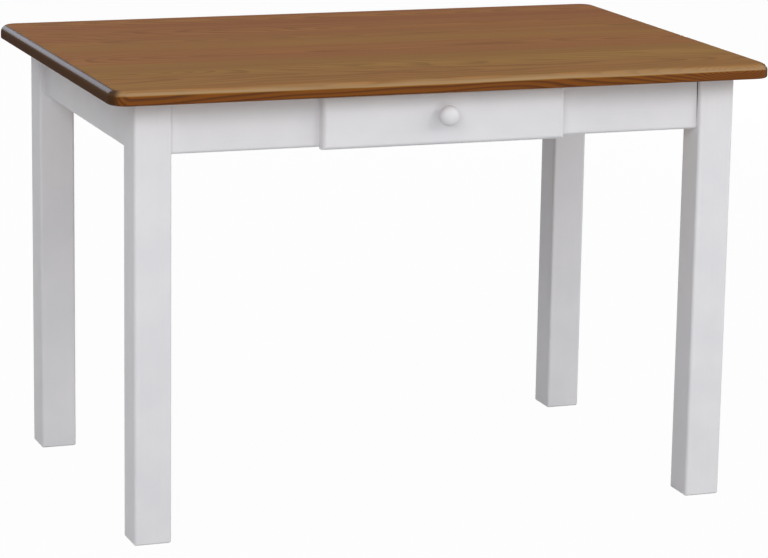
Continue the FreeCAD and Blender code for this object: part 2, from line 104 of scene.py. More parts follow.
# %% [markdown]
# Pine is a soft wood with plain growth rings: a wide pale band of spring wood, then a narrow dark band
# of summer wood with a sharp outer edge. A picture of wood would repeat and would not match at the
# corners. So the rings are worked out in space, as in a real log: a ring is a tube round the heart of
# the tree, and the colour at a point depends on its distance from the heart. Faces, edges and end grain
# then agree by themselves. A glued panel is made of staves, each from another part of a log, so each
# stave gets a heart of its own.

# %% Growth rings in pine
RING_MM = 5.0
FIBRE_MM = 1.6
KNOT_MM = (520.0, 4.0, 3.0)
KNOT_REACH_MM = (46.0, 30.0, 20.0)
KNOT_BULGE_MM = 26.0


def knot_swell(tree, place):
    """Rings bulge round a knot: KNOT_BULGE_MM times the bell curve exp(-d^2).

    d is the distance from the knot's centre, with each axis divided by the knot's reach on it.
    """
    from_knot = add(tree, "VectorMath", [place, KNOT_MM], operation="SUBTRACT")
    shrink = tuple(1 / reach for reach in KNOT_REACH_MM)
    flattened = add(tree, "VectorMath", [from_knot, shrink], operation="MULTIPLY")
    square = add(tree, "VectorMath", [flattened, flattened], operation="DOT_PRODUCT").outputs["Value"]
    fall = add(tree, "Math", [square, -1.0], operation="MULTIPLY")
    bell = add(tree, "Math", [fall], operation="EXPONENT")
    return add(tree, "Math", [bell, KNOT_BULGE_MM], operation="MULTIPLY")


def pine_rings(tree, place, stave_mm, seed):
    """Rings for boards with the grain along X.

    Distance from the heart, r = sqrt((y - heart_y)^2 + (z + heart_z + lean * x)^2), is divided by the
    ring spacing; the fraction left over runs from spring wood (0) to summer wood (1). A slow noise moves
    the heart to and fro along the stave, which draws the long pointed arches of a flat sawn board.
    Returns nodes for the dark summer wood, the fibres and three random numbers for each stave.
    """
    split = add(tree, "SeparateXYZ", [place])
    row = add(tree, "Math", [split.outputs["Y"], stave_mm], operation="DIVIDE")
    stave = add(tree, "Math", [row], operation="FLOOR")
    key = add(tree, "Math", [stave, seed], operation="ADD")
    chance = add(tree, "TexWhiteNoise", {"W": key}, noise_dimensions="1D").outputs["Color"]
    dice = add(tree, "SeparateColor", [chance])
    shift = add(tree, "VectorMath", [chance, 900.0], operation="SCALE")
    own = add(tree, "VectorMath", [place, shift], operation="ADD")
    slow = add(tree, "Mapping", {"Vector": own, "Scale": (1 / 640, 1 / 130, 1 / 130)})
    waver = add(tree, "TexNoise", {"Vector": slow, "Scale": 1.0, "Detail": 2.0, "Roughness": 0.45})
    bend = add(tree, "SeparateXYZ", [waver.outputs["Color"]])
    across = add(tree, "Math", [row], operation="FRACT")
    heart_y = add(tree, "MapRange", [dice.outputs["Red"], 0, 1, 0.15, 0.85])
    off_y = add(tree, "Math", [across, heart_y], operation="SUBTRACT")
    wander_y = add(tree, "MapRange", [bend.outputs["X"], 0, 1, -40.0, 40.0])
    from_y = add(tree, "Math", [off_y, stave_mm, wander_y], operation="MULTIPLY_ADD")
    lean = add(tree, "MapRange", [dice.outputs["Green"], 0, 1, -0.09, 0.09])
    drift = add(tree, "Math", [split.outputs["X"], lean], operation="MULTIPLY")
    depth = add(tree, "MapRange", [dice.outputs["Blue"], 0, 1, 25.0, 95.0])
    wander_z = add(tree, "MapRange", [bend.outputs["Y"], 0, 1, -30.0, 30.0])
    heart_z = add(tree, "Math", [depth, wander_z], operation="ADD")
    heart_x = add(tree, "Math", [drift, heart_z], operation="ADD")
    from_z = add(tree, "Math", [split.outputs["Z"], heart_x], operation="ADD")
    flat = add(tree, "CombineXYZ", [from_y, from_z])
    radius = add(tree, "VectorMath", [flat], operation="LENGTH").outputs["Value"]
    swollen = add(tree, "Math", [radius, knot_swell(tree, place)], operation="ADD")
    turn = add(tree, "Math", [swollen, RING_MM], operation="DIVIDE")
    year = add(tree, "Math", [turn], operation="FRACT")
    swell = add(tree, "MapRange", [year, 0.35, 0.88, 0, 1], interpolation_type="SMOOTHSTEP")
    stop = add(tree, "MapRange", [year, 0.9, 1.0, 1, 0], interpolation_type="SMOOTHSTEP")
    summer = add(tree, "Math", [swell, stop], operation="MULTIPLY")
    thin = add(tree, "Mapping", {"Vector": own, "Scale": (1 / 70, 1 / FIBRE_MM, 1 / FIBRE_MM)})
    fibre = add(tree, "TexNoise", {"Vector": thin, "Scale": 1.0, "Detail": 3.0, "Roughness": 0.6})
    return summer, fibre, dice


print(f"rings every {RING_MM} mm, fibres about {FIBRE_MM} mm wide")

# %% [markdown]
# The top is pine that was stained brown and then lacquered. The staves differ a little, some redder and
# some more olive. On the long edges the roundover is a lighter tan: partly stain rubbed back, partly a
# painted highlight that grows down the curve. Below a wavy line the upright edge stays dark and shows its
# rings. End grain drinks the most stain, so both ends are nearly black-brown, under a lacquer that mirrors
# the window. All of these follow from the way the surface faces, so one function works out the zones and
# the finish mixes its colours by them.

# %% Zones of the top's edge
def edge_zones(tree, band):
    """Shares from 0 to 1, worked out from the normal (nx, ny, nz).

    slope goes from 0 on the flats to 1 on the curve as |nz| falls below 0.995. end is the part of the
    level normal that lies along the grain, |nx| / sqrt(nx^2 + ny^2), sharpened. side goes to 1 where nz,
    moved up and down by the band noise on the long edges, falls below about 0.2, and back to 0 on the flat
    underneath. drop grows from 0 to 1 down the curve.
    """
    faces = add(tree, "SeparateXYZ", [add(tree, "TexCoord").outputs["Normal"]])
    level = add(tree, "Math", [faces.outputs["Z"]], operation="ABSOLUTE")
    slope = add(tree, "MapRange", [level, 0.93, 0.995, 1.0, 0.0], interpolation_type="SMOOTHSTEP")
    outward = add(tree, "CombineXYZ", [faces.outputs["X"], faces.outputs["Y"]])
    compass = add(tree, "SeparateXYZ", [add(tree, "VectorMath", [outward], operation="NORMALIZE")])
    along = add(tree, "Math", [compass.outputs["X"]], operation="ABSOLUTE")
    facing_end = add(tree, "MapRange", [along, 0.5, 0.85, 0.0, 1.0], interpolation_type="SMOOTHSTEP")
    end = add(tree, "Math", [facing_end, slope], operation="MULTIPLY")
    wave = add(tree, "MapRange", [end, 0.0, 1.0, 0.22, 0.0])
    wander = add(tree, "MapRange", [band, 0.3, 0.7, -1.0, 1.0])
    height = add(tree, "Math", [wander, wave, faces.outputs["Z"]], operation="MULTIPLY_ADD")
    lower = add(tree, "MapRange", [height, 0.1, 0.34, 1.0, 0.0], interpolation_type="SMOOTHSTEP")
    side = add(tree, "Math", [lower, slope], operation="MULTIPLY")
    drop = add(tree, "MapRange", [level, 0.35, 0.96, 1.0, 0.0])
    return slope, side, end, drop


print("zones of the edge: slope, side, end, drop")

# %% Stained and lacquered pine
TOP_WIDTH_MM = 800
STAVE_MM = TOP_WIDTH_MM / 6
TO_FRONT_EDGE_AND_MID_HEIGHT_MM = (0.0, TOP_WIDTH_MM / 2, -767.5)


def stained_pine():
    """Pine under brown stain and satin lacquer: warm streaks, a tan roundover that is partly a painted
    highlight, dark edges, soft shine.
    """
    material, tree, place = new_finish("pine_stained_satin_lacquer")
    raised = add(tree, "VectorMath", [place, TO_FRONT_EDGE_AND_MID_HEIGHT_MM], operation="ADD")
    summer, fibre, dice = pine_rings(tree, raised, STAVE_MM, 3.0)
    long = add(tree, "Mapping", {"Vector": place, "Scale": (1 / 900, 1 / 38, 1 / 38)})
    band = add(tree, "TexNoise", {"Vector": long, "Scale": 1.0, "Detail": 3.0, "Roughness": 0.55})
    slope, side, end, drop = edge_zones(tree, band)

    lot = add(tree, "Math", [dice.outputs["Green"], band], operation="ADD")
    hue = add(tree, "MapRange", [lot, 0.55, 1.45, 0, 1])
    tone = add(tree, "Mix", [hue, linear("#A0653A"), linear("#9E753A")], data_type="RGBA")
    contrast = add(tree, "MapRange", [side, 0.0, 1.0, 0.3, 0.5])
    share = add(tree, "Math", [summer, contrast], operation="MULTIPLY")
    ringed = add(tree, "Mix", [share, tone, linear("#4A2408")], data_type="RGBA")
    streak = add(tree, "MapRange", [fibre, 0.3, 0.7, 0.95, 1.05])
    cloud = add(tree, "MapRange", [band, 0.3, 0.7, 0.92, 1.08])
    depth = add(tree, "Math", [streak, cloud], operation="MULTIPLY")
    shaded = add(tree, "VectorMath", [ringed, depth], operation="SCALE")

    # Painted highlight: the long roundovers are mixed toward a light tan, most low on the curve; part
    # stands for stain rubbed back, part for light carried in the colour.
    above = add(tree, "Math", [slope, side], operation="SUBTRACT", use_clamp=True)
    thin = add(tree, "Mapping", {"Vector": place, "Scale": (1 / 160, 1 / 7, 1 / 7)})
    rub_and_highlight_noise = add(tree, "TexNoise", {"Vector": thin, "Scale": 1.0, "Detail": 2.0})
    patchy = add(tree, "MapRange", [rub_and_highlight_noise, 0.3, 0.7, -0.25, 0.25])
    highlight_and_bare_share = add(tree, "MapRange", [drop, 0.0, 1.0, 0.25, 0.9], interpolation_type="SMOOTHSTEP")
    highlight_and_bare_share = add(tree, "Math", [highlight_and_bare_share, patchy], operation="ADD", use_clamp=True)
    highlight_and_wear_share = add(tree, "Math", [above, highlight_and_bare_share], operation="MULTIPLY")
    rubbed_and_highlit = add(tree, "Mix", [highlight_and_wear_share, shaded, linear("#A78861")], data_type="RGBA")
    soak = add(tree, "MapRange", [side, 0.0, 1.0, 1.0, 1.5])
    soaked = add(tree, "Gamma", [rubbed_and_highlit, soak])
    warm = add(tree, "MapRange", [side, 0.0, 1.0, 1.0, 1.25])
    warmed = add(tree, "HueSaturation", {"Saturation": warm, "Color": soaked})
    drunk = add(tree, "Math", [end, 0.92], operation="MULTIPLY")
    colour = add(tree, "Mix", [drunk, warmed, linear("#43290F")], data_type="RGBA")

    smooth = add(tree, "MapRange", [end, 0.0, 1.0, 1.0, 0.0])
    ridge = add(tree, "Math", [fibre, smooth], operation="MULTIPLY")
    shine = add(tree, "MapRange", [ridge, 0.3, 0.7, 0.26, 0.3])
    flat = add(tree, "MapRange", [end, 0.0, 1.0, 0.36, 0.0])
    dull = add(tree, "Math", [shine, flat], operation="ADD")
    fade = add(tree, "MapRange", [drop, 0.62, 1.05, 0.0, 1.0], interpolation_type="SMOOTHSTEP")
    sawn = add(tree, "Math", [end, fade], operation="MULTIPLY")
    rough = add(tree, "Math", [sawn, 0.7, dull], operation="MULTIPLY_ADD")
    ripple = add(tree, "Bump", {"Strength": 0.2, "Distance": 0.03 * MM, "Height": ridge})
    shader = add(tree, "BsdfPrincipled", {
        "Base Color": colour, "Roughness": rough, "IOR": 1.5, "Specular IOR Level": 0.25, "Normal": ripple,
    })
    close_finish(tree, shader)
    return material


top_finish = stained_pine()
print("finish:", top_finish.name)

# %% [markdown]
# The legs, aprons and drawer front wear a white satin paint that was brushed along each board. Paint
# levels out, but not fully: fine brush lines stay along the board, and the wood's grain just shows as
# a ripple in the shine. The lines follow the board, so one function makes a finish for each direction.
# The knob was sprayed, so it is glossier and has no lines. Beside the right front leg a painted shadow
# draws the open joint as a dark line.

# %% Brushed white paint
def white_paint(name, along, roughness, depth, joint_mm=None):
    """Paint on pine: nearly even colour, with brush lines 1.5 mm apart that mostly the shine shows.

    depth from 0 to 1 sets how plain the lines are. Where joint_mm is given, a painted shadow draws the open
    joint at that X as a dark line, 2.2 mm wide at the top of the apron and almost closed at its lower
    edge.
    """
    material, tree, place = new_finish(name)
    size = {axis: 1 / 160 if axis == along else 1 / 1.5 for axis in "XYZ"}
    drawn = add(tree, "Mapping", {"Vector": place, "Scale": (size["X"], size["Y"], size["Z"])})
    brush = add(tree, "TexNoise", {"Vector": drawn, "Scale": 1.0, "Detail": 2.0, "Roughness": 0.55})
    cloud = add(tree, "TexNoise", {"Vector": place, "Scale": 1 / 90, "Detail": 3.0})
    warm = add(tree, "MapRange", [cloud, 0.35, 0.65, 0, 1])
    colour = add(tree, "Mix", [warm, linear("#EAEAEE"), linear("#EFEEF1")], data_type="RGBA")
    faint, uneven = 0.027 * depth, 0.15 * depth
    line = add(tree, "MapRange", [brush, 0.3, 0.7, 1 - faint, 1 + faint])
    painted = add(tree, "VectorMath", [colour, line], operation="SCALE")
    if joint_mm is not None:
        # Painted shadow: a dark stripe beside the joint at joint_mm stands for the shade inside an open
        # gap.
        split = add(tree, "SeparateXYZ", [place])
        width = add(tree, "MapRange", [split.outputs["Z"], 675.0, 755.0, 0.2, 2.2])
        short = add(tree, "Math", [joint_mm, split.outputs["X"]], operation="SUBTRACT")
        joint_gap_shadow = add(tree, "Math", [short, width], operation="LESS_THAN")
        painted = add(tree, "Mix", [joint_gap_shadow, painted, linear("#3A332E")], data_type="RGBA")
    rough = add(tree, "MapRange", [brush, 0.3, 0.7, roughness - uneven, roughness + uneven])
    ripple = add(tree, "Bump", {"Strength": depth, "Distance": 0.05 * MM, "Height": brush})
    shader = add(tree, "BsdfPrincipled", {
        "Base Color": painted, "Roughness": rough, "IOR": 1.48, "Specular IOR Level": 0.4, "Normal": ripple,
    })
    close_finish(tree, shader)
    return material


SATIN, GLOSS = 0.42, 0.26
BRUSHED, SPRAYED = 0.3, 0.02
APRON_END_MM = 475.0
paint = {along: white_paint(f"paint_white_satin_brushed_{along}", along, SATIN, BRUSHED) for along in "XYZ"}
paint_with_joint_shadow = white_paint("paint_white_satin_painted_joint_shadow", "X", SATIN, BRUSHED, APRON_END_MM)
knob_paint = white_paint("paint_white_gloss_sprayed_knob", "Z", GLOSS, SPRAYED)
print("paint directions:", sorted(paint))

# %% [markdown]
# Inside, nothing is painted. Runners, kickers, corner blocks and the drawer's sides and back are planed
# pine left bare, the dowels and the turn button are beech, and the drawer's bottom is hardboard. The
# screws, bolts and brackets are zinc plated steel. They come from the same ring function, or from noise
# stretched along the fibres.

# %% Bare pine, beech, hardboard and zinc
BOARD_MM = 210.0


def bare_pine(name, turn, shift, seed):
    """Planed pine with no finish: pale, dry and matt, with clear yellow-brown rings.

    Each log serves a strip of BOARD_MM. shift moves the strips so that their limits fall between boards.
    """
    material, tree, place = new_finish(name)
    laid = add(tree, "Mapping", {"Vector": place, "Rotation": turn, "Location": (0.0, shift, 30.0)})
    summer, fibre, dice = pine_rings(tree, laid, BOARD_MM, seed)
    spring = add(tree, "Mix", [dice.outputs["Red"], linear("#DDBB86"), linear("#E2C596")], data_type="RGBA")
    share = add(tree, "Math", [summer, 0.6], operation="MULTIPLY")
    ringed = add(tree, "Mix", [share, spring, linear("#B98348")], data_type="RGBA")
    streak = add(tree, "MapRange", [fibre, 0.3, 0.7, 0.93, 1.05])
    colour = add(tree, "VectorMath", [ringed, streak], operation="SCALE")
    ripple = add(tree, "Bump", {"Strength": 0.3, "Distance": 0.06 * MM, "Height": fibre})
    shader = add(tree, "BsdfPrincipled", {
        "Base Color": colour, "Roughness": 0.62, "IOR": 1.5, "Specular IOR Level": 0.3, "Normal": ripple,
    })
    close_finish(tree, shader)
    return material


def beech():
    """Turned beech: even pinkish tan with short dark flecks about 2 mm long and 0.5 mm wide."""
    material, tree, place = new_finish("beech_turned_bare")
    fleck = add(tree, "Mapping", {"Vector": place, "Scale": (1 / 1.2, 1 / 1.2, 1 / 4)})
    spots = add(tree, "TexVoronoi", {"Vector": fleck, "Scale": 1.0, "Randomness": 1.0})
    mark = add(tree, "MapRange", [spots.outputs["Distance"], 0.12, 0.3, 0.55, 0.0])
    colour = add(tree, "Mix", [mark, linear("#CFA476"), linear("#9C6B42")], data_type="RGBA")
    shader = add(tree, "BsdfPrincipled", {
        "Base Color": colour, "Roughness": 0.55, "Specular IOR Level": 0.35,
    })
    close_finish(tree, shader)
    return material


def hardboard():
    """Pressed fibre board: brown and smooth, mottled by fibres a few millimetres long."""
    material, tree, place = new_finish("hardboard_pressed_smooth")
    felt = add(tree, "TexNoise", {"Vector": place, "Scale": 1 / 3.5, "Detail": 4.0, "Distortion": 1.2})
    cloud = add(tree, "TexNoise", {"Vector": place, "Scale": 1 / 25, "Detail": 2.0})
    blend = add(tree, "Math", [felt, cloud], operation="MULTIPLY")
    share = add(tree, "MapRange", [blend, 0.1, 0.42, 0, 1])
    colour = add(tree, "Mix", [share, linear("#835E3E"), linear("#9C7550")], data_type="RGBA")
    shader = add(tree, "BsdfPrincipled", {
        "Base Color": colour, "Roughness": 0.5, "Specular IOR Level": 0.4,
    })
    close_finish(tree, shader)
    return material


def zinc_steel():
    """Steel plated with bright zinc: a pale blue-grey metal, slightly cloudy."""
    material, tree, place = new_finish("steel_zinc_plated")
    cloud = add(tree, "TexNoise", {"Vector": place, "Scale": 1 / 6, "Detail": 3.0})
    share = add(tree, "MapRange", [cloud, 0.35, 0.65, 0, 1])
    colour = add(tree, "Mix", [share, linear("#B9BEC4"), linear("#CDCFCF")], data_type="RGBA")
    rough = add(tree, "MapRange", [cloud, 0.35, 0.65, 0.28, 0.4])
    shader = add(tree, "BsdfPrincipled", {"Base Color": colour, "Roughness": rough, "Metallic": 1.0})
    close_finish(tree, shader)
    return material


quarter = math.pi / 2
pine_x = bare_pine("pine_planed_bare_X", (0, 0, 0), 0.0, 11.0)
pine_y = bare_pine("pine_planed_bare_Y", (0, 0, quarter), BOARD_MM / 2, 17.0)
beech_finish = beech()
board_finish = hardboard()
zinc_finish = zinc_steel()
print("inside finishes:", [m.name for m in (pine_x, pine_y, beech_finish, board_finish, zinc_finish)])

# %% [markdown]
# Every piece of the frame that is kept gets its finish here. Boards that run across the table, such as
# the end aprons, runners and drawer sides, take the version whose grain runs along Y.

# %% Give each piece its finish
finishes = {
    "leg_": paint["Z"],
    "apron_front": paint_with_joint_shadow,
    "apron_back": paint["X"],
    "apron_left": paint["Y"],
    "apron_right": paint["Y"],
    "drawer_front": paint["X"],
    "drawer_knob": knob_paint,
    "corner_block_f": pine_x,
    "corner_block_b": pine_x,
    "runner_left": pine_y,
    "runner_right": pine_y,
    "kicker_left": pine_y,
    "kicker_right": pine_y,
    "drawer_side": pine_y,
    "drawer_back": pine_x,
    "drawer_bottom": board_finish,
    "drawer_button": beech_finish,
    "apron_dowels": beech_finish,
    "runner_dowels": beech_finish,
    "drawer_dowels": beech_finish,
    "tabletop": top_finish,
}
for name, node in nodes.items():
    match = [key for key in finishes if name.startswith(key) and not name.endswith("pins")]
    node.data.materials.clear()
    node.data.materials.append(finishes[match[0]] if match else zinc_finish)
print("pieces left with zinc:", [n for n, o in nodes.items() if o.data.materials[0] == zinc_finish])

# %% [markdown]
# The top has a rounded outline, a large roundover above and a small ease below. Flat triangles would
# show as facets in the lacquer's reflection, so the top is made again as one smooth surface. An edge
# profile is carried round the outline: one parameter goes round the table, the other over its edge.
# The same grid of points in two parameters will serve for every other new piece.

# %% A surface from a grid of points
def surface(name, points, poles=(True, True), loop=False):
    """Mesh from points[copy, u, v]: quads between neighbours, closed round u.

    Each end of v is closed by a fan where poles says so. With loop, the last v joins the first instead.
    """
    if points.ndim == 3:
        points = points[None]
    copies, count_u, count_v, _ = points.shape
    index = np.arange(copies * count_u * count_v).reshape(copies, count_u, count_v)
    after = np.roll(index, -1, axis=1)
    quads = np.stack([index, after, np.roll(after, -1, axis=2), np.roll(index, -1, axis=2)], axis=-1)
    if not loop:
        quads = quads[:, :, :-1]
    vertices = [points.reshape(-1, 3)]
    faces = quads.reshape(-1, 4).tolist()
    count = index.size
    for row, wanted in zip((0, -1), poles):
        if loop or not wanted:
            continue
        vertices.append(points[:, :, row].mean(axis=1))
        centre = np.broadcast_to(count + np.arange(copies)[:, None], (copies, count_u))
        near, far = (after, index) if row == 0 else (index, after)
        faces += np.stack([near[..., row], far[..., row], centre], axis=-1).reshape(-1, 3).tolist()
        count += copies
    mesh = bpy.data.meshes.new(name)
    mesh.from_pydata(np.concatenate(vertices).tolist(), [], faces)
    mesh.polygons.foreach_set("use_smooth", np.ones(len(mesh.polygons), dtype=bool))
    mesh.update()
    piece = bpy.data.objects.new(name, mesh)
    bpy.context.collection.objects.link(piece)
    return piece


def arc(centre, radius, start, end, count):
    """Points of a circular arc: centre plus radius times (cos, sin) of angles in degrees."""
    angle = np.radians(np.linspace(start, end, count))
    return np.stack([centre[0] + radius * np.cos(angle), centre[1] + radius * np.sin(angle)], axis=-1)


print("a quarter circle in three points:", arc((0, 0), 1, 0, 90, 3).round(3).tolist())

# %% The top
def edge_profile(thickness, roundover, ease):
    """(inset, height) from the flat above to the flat below: a quarter circle, the edge, a small one."""
    upper = arc((roundover, thickness - roundover), roundover, 90, 180, 18)
    lower = arc((ease, ease), ease, 180, 270, 7)
    above = np.array([(roundover + 8, thickness), (roundover + 1, thickness)])
    below = np.array([(ease + 1, 0.0), (ease + 8, 0.0)])
    return np.concatenate([above, upper, lower, below])


def rounded_outline(half_x, half_y, corner, steps):
    """Corner centres and outward directions round a rectangle, one row for each point of the outline."""
    angle = np.radians(np.linspace(0, 90, steps))
    turns = angle + np.radians([0, 90, 180, 270])[:, None]
    out = np.stack([np.cos(turns), np.sin(turns)], axis=-1).reshape(-1, 2)
    signs = np.array([(1, 1), (-1, 1), (-1, -1), (1, -1)])
    centre = signs * (half_x - corner, half_y - corner)
    return np.repeat(centre, steps, axis=0), out


low, high = (np.array(corner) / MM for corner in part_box("tabletop"))
CORNER, ROUNDOVER, EASE = 32.0, 13.0, 3.0
centre, out = rounded_outline(high[0], high[1], CORNER, 20)
inset, height = edge_profile(high[2] - low[2], ROUNDOVER, EASE).T
flat = centre[:, None] + (CORNER - inset)[None, :, None] * out[:, None]
level = np.broadcast_to((low[2] + height)[None, :, None], (*flat.shape[:2], 1))
points = np.concatenate([flat, level], axis=-1)
top = surface("tabletop_surface", points[::-1] * MM)
top.data.materials.append(top_finish)
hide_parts("tabletop")
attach(top, "table_frame")
print("top:", len(top.data.polygons), "faces")

# %% [markdown]
# The knob is turned on a lathe, so its surface is one outline carried round an axis: a foot on the
# drawer front, a cove under the rim for the fingers, a full rim and a low dome.

# %% The knob
def knob_profile(diameter, reach, rim_height, fullness, neck, neck_height):
    """(radius, reach) of the knob: foot, cove, rim and dome.

    Two circles are tangent where the line through their centres meets them, so each arc starts at the
    angle of the line to the centre of the one before it.
    """
    rise = reach - rim_height
    rim = fullness * rise
    rim_x = diameter / 2 - rim
    dome = (rise ** 2 + rim_x ** 2 - rim ** 2) / (2 * (rise - rim))
    inset, drop = neck - rim_x, rim_height - neck_height
    cove = (inset ** 2 + drop ** 2 - rim ** 2) / (2 * (rim - inset))
    cove_x = neck + cove
    dome_turn = np.degrees(np.arctan2(rim_height - reach + dome, rim_x))
    cove_turn = np.degrees(np.arctan2(drop, rim_x - cove_x))
    foot = np.array([(cove_x, 0.0), (cove_x, (neck_height - cove) * 0.9)])
    cove_arc = arc((cove_x, neck_height), cove, 270, cove_turn, 14)
    rim_arc = arc((rim_x, rim_height), rim, cove_turn - 180, dome_turn, 48)[1:]
    dome_arc = arc((0.0, reach - dome), dome, dome_turn, 89, 28)[1:]
    return np.concatenate([foot, cove_arc, rim_arc, dome_arc])


def lathe(radius, reach, places, axes, steps):
    """Carries (radius, reach) round each axis: place + reach * axis + radius * (cos, sin) square to it.

    radius and reach have one value for each point of the outline, or a row of them for each step round.
    """
    places, axes = (np.atleast_2d(np.array(rows, dtype=float)) for rows in (places, axes))
    helper = np.where(np.abs(axes[:, 2:]) < 0.9, (0.0, 0.0, 1.0), (1.0, 0.0, 0.0))
    side = np.cross(axes, helper)
    side /= np.linalg.norm(side, axis=1, keepdims=True)
    turn = np.linspace(0, 2 * np.pi, steps, endpoint=False)[None, :, None]
    spoke = np.cos(turn) * side[:, None] + np.sin(turn) * np.cross(axes, side)[:, None]
    radius, reach = np.broadcast_arrays(np.atleast_2d(radius), np.atleast_2d(reach))
    along = reach[None, :, :, None] * axes[:, None, None]
    return places[:, None, None] + along + radius[None, :, :, None] * spoke[:, :, None]


low, high = (np.array(corner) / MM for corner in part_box("drawer_knob"))
knob_place = ((low[0] + high[0]) / 2, high[1], (low[2] + high[2]) / 2)
profile = knob_profile(
    diameter=35.0, reach=high[1] - low[1], rim_height=17.1, fullness=0.88, neck=7.0, neck_height=4.2,
)
knob = surface("drawer_knob_surface", lathe(*profile.T, knob_place, (0, -1, 0), 144) * MM)
knob.data.materials.append(knob_paint)
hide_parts("drawer_knob")
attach(knob, "drawer")
print("knob:", len(knob.data.polygons), "faces, reach", round(high[1] - low[1], 2), "mm")

# %% [markdown]
# Screws hold the corner blocks, the kickers, the brackets, the knob and the turn button. In the frame
# they are plain turned shapes. Their places can be read from those shapes: the points of a node are
# sorted into separate solids, the long direction of each solid is its axis, and the widest end is the
# head. New screws then go on the same axes, with a cross recess pressed into each head.

# %% Find the axes of the fasteners
def solids_in(name):
    """Points of each solid in a node, in mm: triangles that share a corner get the same lowest label."""
    mesh = nodes[name].data
    spots = np.empty(len(mesh.vertices) * 3)
    mesh.vertices.foreach_get("co", spots)
    corners = np.empty(len(mesh.loops), dtype=np.int32)
    mesh.loops.foreach_get("vertex_index", corners)
    spots, same = np.unique(np.round(spots.reshape(-1, 3) / MM, 3), axis=0, return_inverse=True)
    triangles = same.reshape(-1)[corners].reshape(-1, 3)
    label = np.arange(len(spots))
    while True:
        lower = label.copy()
        np.minimum.at(lower, triangles, label[triangles].min(axis=1, keepdims=True))
        if np.array_equal(lower, label):
            break
        label = lower
    return [spots[label == kind] for kind in np.unique(label)]


def shafts_in(name):
    """Head end, unit axis towards the head, and length of each long solid in a node."""
    ends, axes, lengths = [], [], []
    for spots in solids_in(name):
        middle = spots.mean(axis=0)
        axis = np.linalg.svd(spots - middle, full_matrices=False)[2][0]
        along = (spots - middle) @ axis
        off_axis = np.linalg.norm(spots - middle - along[:, None] * axis, axis=1)
        if (off_axis * (along - (along.min() + along.max()) / 2)).sum() < 0:
            axis, along = -axis, -along
        ends.append(middle + axis * along.max())
        axes.append(axis)
        lengths.append(np.ptp(along))
    return np.array(ends), np.array(axes), np.array(lengths)


for name in ("corner_block_screws", "hanger_bolts", "knob_screw"):
    ends, axes, lengths = shafts_in(name)
    print(f"{name}: {len(ends)} solids, length {lengths.min():.2f} to {lengths.max():.2f} mm")

# %% Screws with a cross recess
STEPS = 48


def screw_outline(length, shank, tip, head, under, crown, sunk):
    """(radius, reach) from the point up to the centre of the head, whose edge has reach 0.

    The shank is a cylinder with a cone for its point. A sunk head is a cone below its edge, and any other
    has an upright wall there. crown is how far the head domes above its edge: crown * (1 - share^2).
    """
    neck = (shank, -under) if sunk else (head - 0.1, -under)
    shaft = np.array([(0.1, -length), (shank, tip - length), (shank, -under - 0.01), neck])
    rows = np.linspace(1.0, 0.06, 16)
    return np.concatenate([shaft, np.stack([head * rows, crown * (1 - rows ** 2)], axis=-1)])


def cross_recess(radius, arm, slot, depth):
    """Depth of a cross at each point of a head: the slots fall off towards their sides and their ends."""
    turn = np.linspace(0, 2 * np.pi, STEPS, endpoint=False)[:, None]
    x, y = np.abs(radius * np.cos(turn)), np.abs(radius * np.sin(turn))
    near_slot = np.clip((slot / 2 - np.minimum(x, y)) / (slot * 0.18), 0, 1)
    near_middle = np.clip((arm - np.maximum(x, y)) / (arm * 0.45), 0, 1)
    return depth * near_slot * near_middle


def add_screws(name, body, shank, head, under, crown, sunk=False, tip=3.0):
    """Replaces a node of screws by turned ones with a cross in the head.

    shank and head are radii, under is the head's depth below its edge, and all sizes are in mm.
    """
    ends, axes, lengths = shafts_in(name)
    radius, reach = screw_outline(lengths.mean() - crown, shank, tip, head, under, crown, sunk).T
    recess = np.where(reach >= 0, cross_recess(radius, head * 0.62, head * 0.3, head * 0.45), 0.0)
    grid = lathe(radius, reach - recess, ends - crown * axes, axes, STEPS)
    piece = surface(f"{name}_surface", grid * MM)
    piece.data.materials.append(zinc_finish)
    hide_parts(name)
    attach(piece, body)
    return piece


sunk_head = {"shank": 2.25, "head": 4.5, "under": 2.25, "crown": 0.0, "sunk": True}
pan_head = {"shank": 2.0, "head": 4.0, "under": 1.2, "crown": 1.2}
screws = [
    add_screws("corner_block_screws", "table_frame", **sunk_head),
    add_screws("kicker_screws", "table_frame", **sunk_head),
    add_screws("top_bracket_screws", "table_frame", **pan_head),
    add_screws("button_screw", "drawer", **pan_head),
    add_screws("knob_screw", "drawer", **(pan_head | {"under": 1.4})),
]
print("screw faces:", [(piece.name, len(piece.data.polygons)) for piece in screws])

# %% [markdown]
# Each leg hangs on a bolt that is half wood screw and half machine screw. Its threaded end comes
# through the corner block, and a nut pulls the leg home. Threads only show in the gap before the leg and
# at the free end, so the rows of the mesh are close together there and far apart where wood hides them.

# %% Hanger bolts and nuts
PITCH, BOLT, CREST = 1.25, 4.0, 0.77
NUT_FLATS, NUT_HEIGHT = 13.0, 6.5
BOLT_STEPS, NUT_STEPS = 32, 72


def threaded(reach, steps):
    """Radius of a thread: the bolt's radius less a saw of depth CREST that climbs one pitch each turn."""
    turn = np.linspace(0, 1, steps, endpoint=False)[:, None]
    phase = (reach[None] / PITCH - turn) % 1
    return BOLT - CREST * np.abs(2 * phase - 1)


